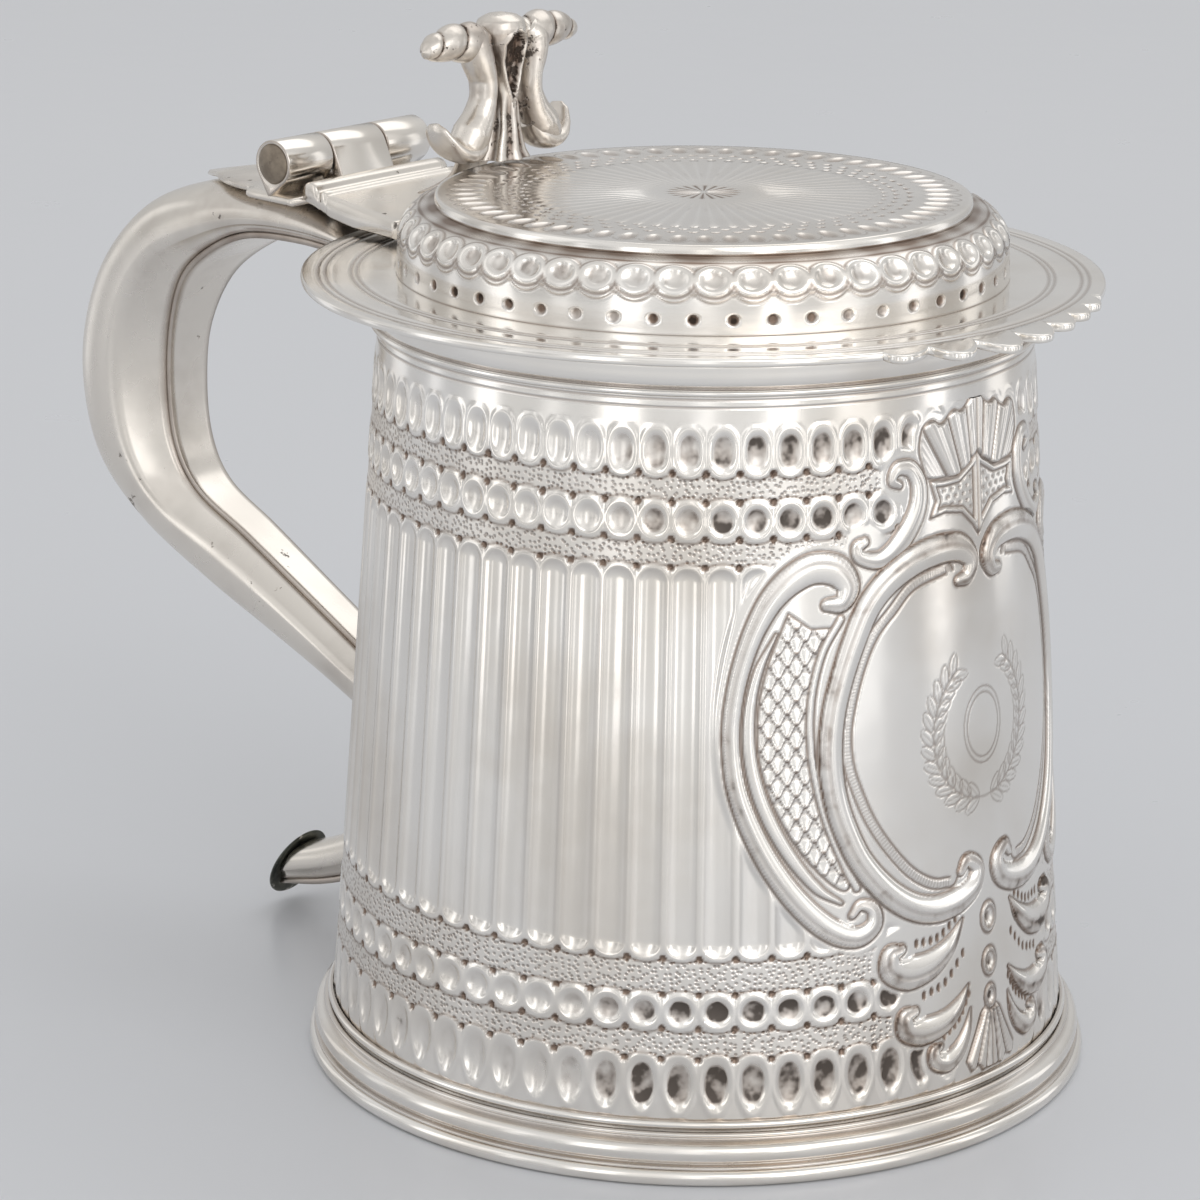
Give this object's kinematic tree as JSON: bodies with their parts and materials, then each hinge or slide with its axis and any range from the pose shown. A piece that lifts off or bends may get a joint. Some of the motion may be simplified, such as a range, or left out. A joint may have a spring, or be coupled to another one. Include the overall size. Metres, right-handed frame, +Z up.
{
  "type": "lidded tankard",
  "caption": "Tapered drum tankard with chased bands and fluting, moulded foot, hollow scroll handle, hinged flat lid with serrated peak and scrolled thumbpiece.",
  "frame": {"origin": "centre of the object's footprint box, on the plane that the foot stands on", "axes": "+Z up along the drum's axis, +X from the handle to the lid's front peak, +Y across, parallel to the hinge pin; mirror-symmetric about y = 0 apart from the small teeth of the lid's peak"},
  "size_m": [0.2268, 0.14, 0.181],
  "materials": {
    "polished_silver": "bright hand-polished silver with warm grey tarnish in the recesses",
    "worn_silver": "softly polished silver, rubbed and finely scratched, warm grey",
    "cast_silver": "cast silver with brown-grey pitting in the hollows",
    "dull_cap": "matte taupe, unpolished",
    "dark_tarnish": "almost black greenish tarnish"
  },
  "bodies": {
    "tankard": {"drum": "polished_silver", "base_disc": "worn_silver", "foot_rim_wire": "polished_silver", "foot_moulding": "polished_silver", "foot_astragal_wire": "polished_silver", "lip_moulding": "polished_silver", "handle_shell": "worn_silver", "handle_strap": "worn_silver", "handle_tail_strap": "worn_silver", "handle_terminal": "dark_tarnish", "handle_hinge_plate": "worn_silver", "hinge_knuckle_near": "polished_silver", "hinge_knuckle_far": "polished_silver", "hinge_pin": "worn_silver", "hinge_end_cap_near": "dull_cap", "hinge_end_cap_far": "dull_cap"},
    "lid": {"lid_knuckle": "polished_silver", "lid_hinge_plate": "worn_silver", "lid_brim": "polished_silver", "lid_band": "polished_silver", "lid_top_plate": "polished_silver", "lid_bezel": "worn_silver", "thumbpiece": "cast_silver", "thumbpiece_tongue": "cast_silver"}
  },
  "joints": [
    {"name": "lid_hinge", "type": "hinge", "parent": "tankard", "child": "lid", "pos_m": [-0.0461, 0, 0.1513], "axis": [0, -1, 0], "range_deg": [0, 105]}
  ]
}
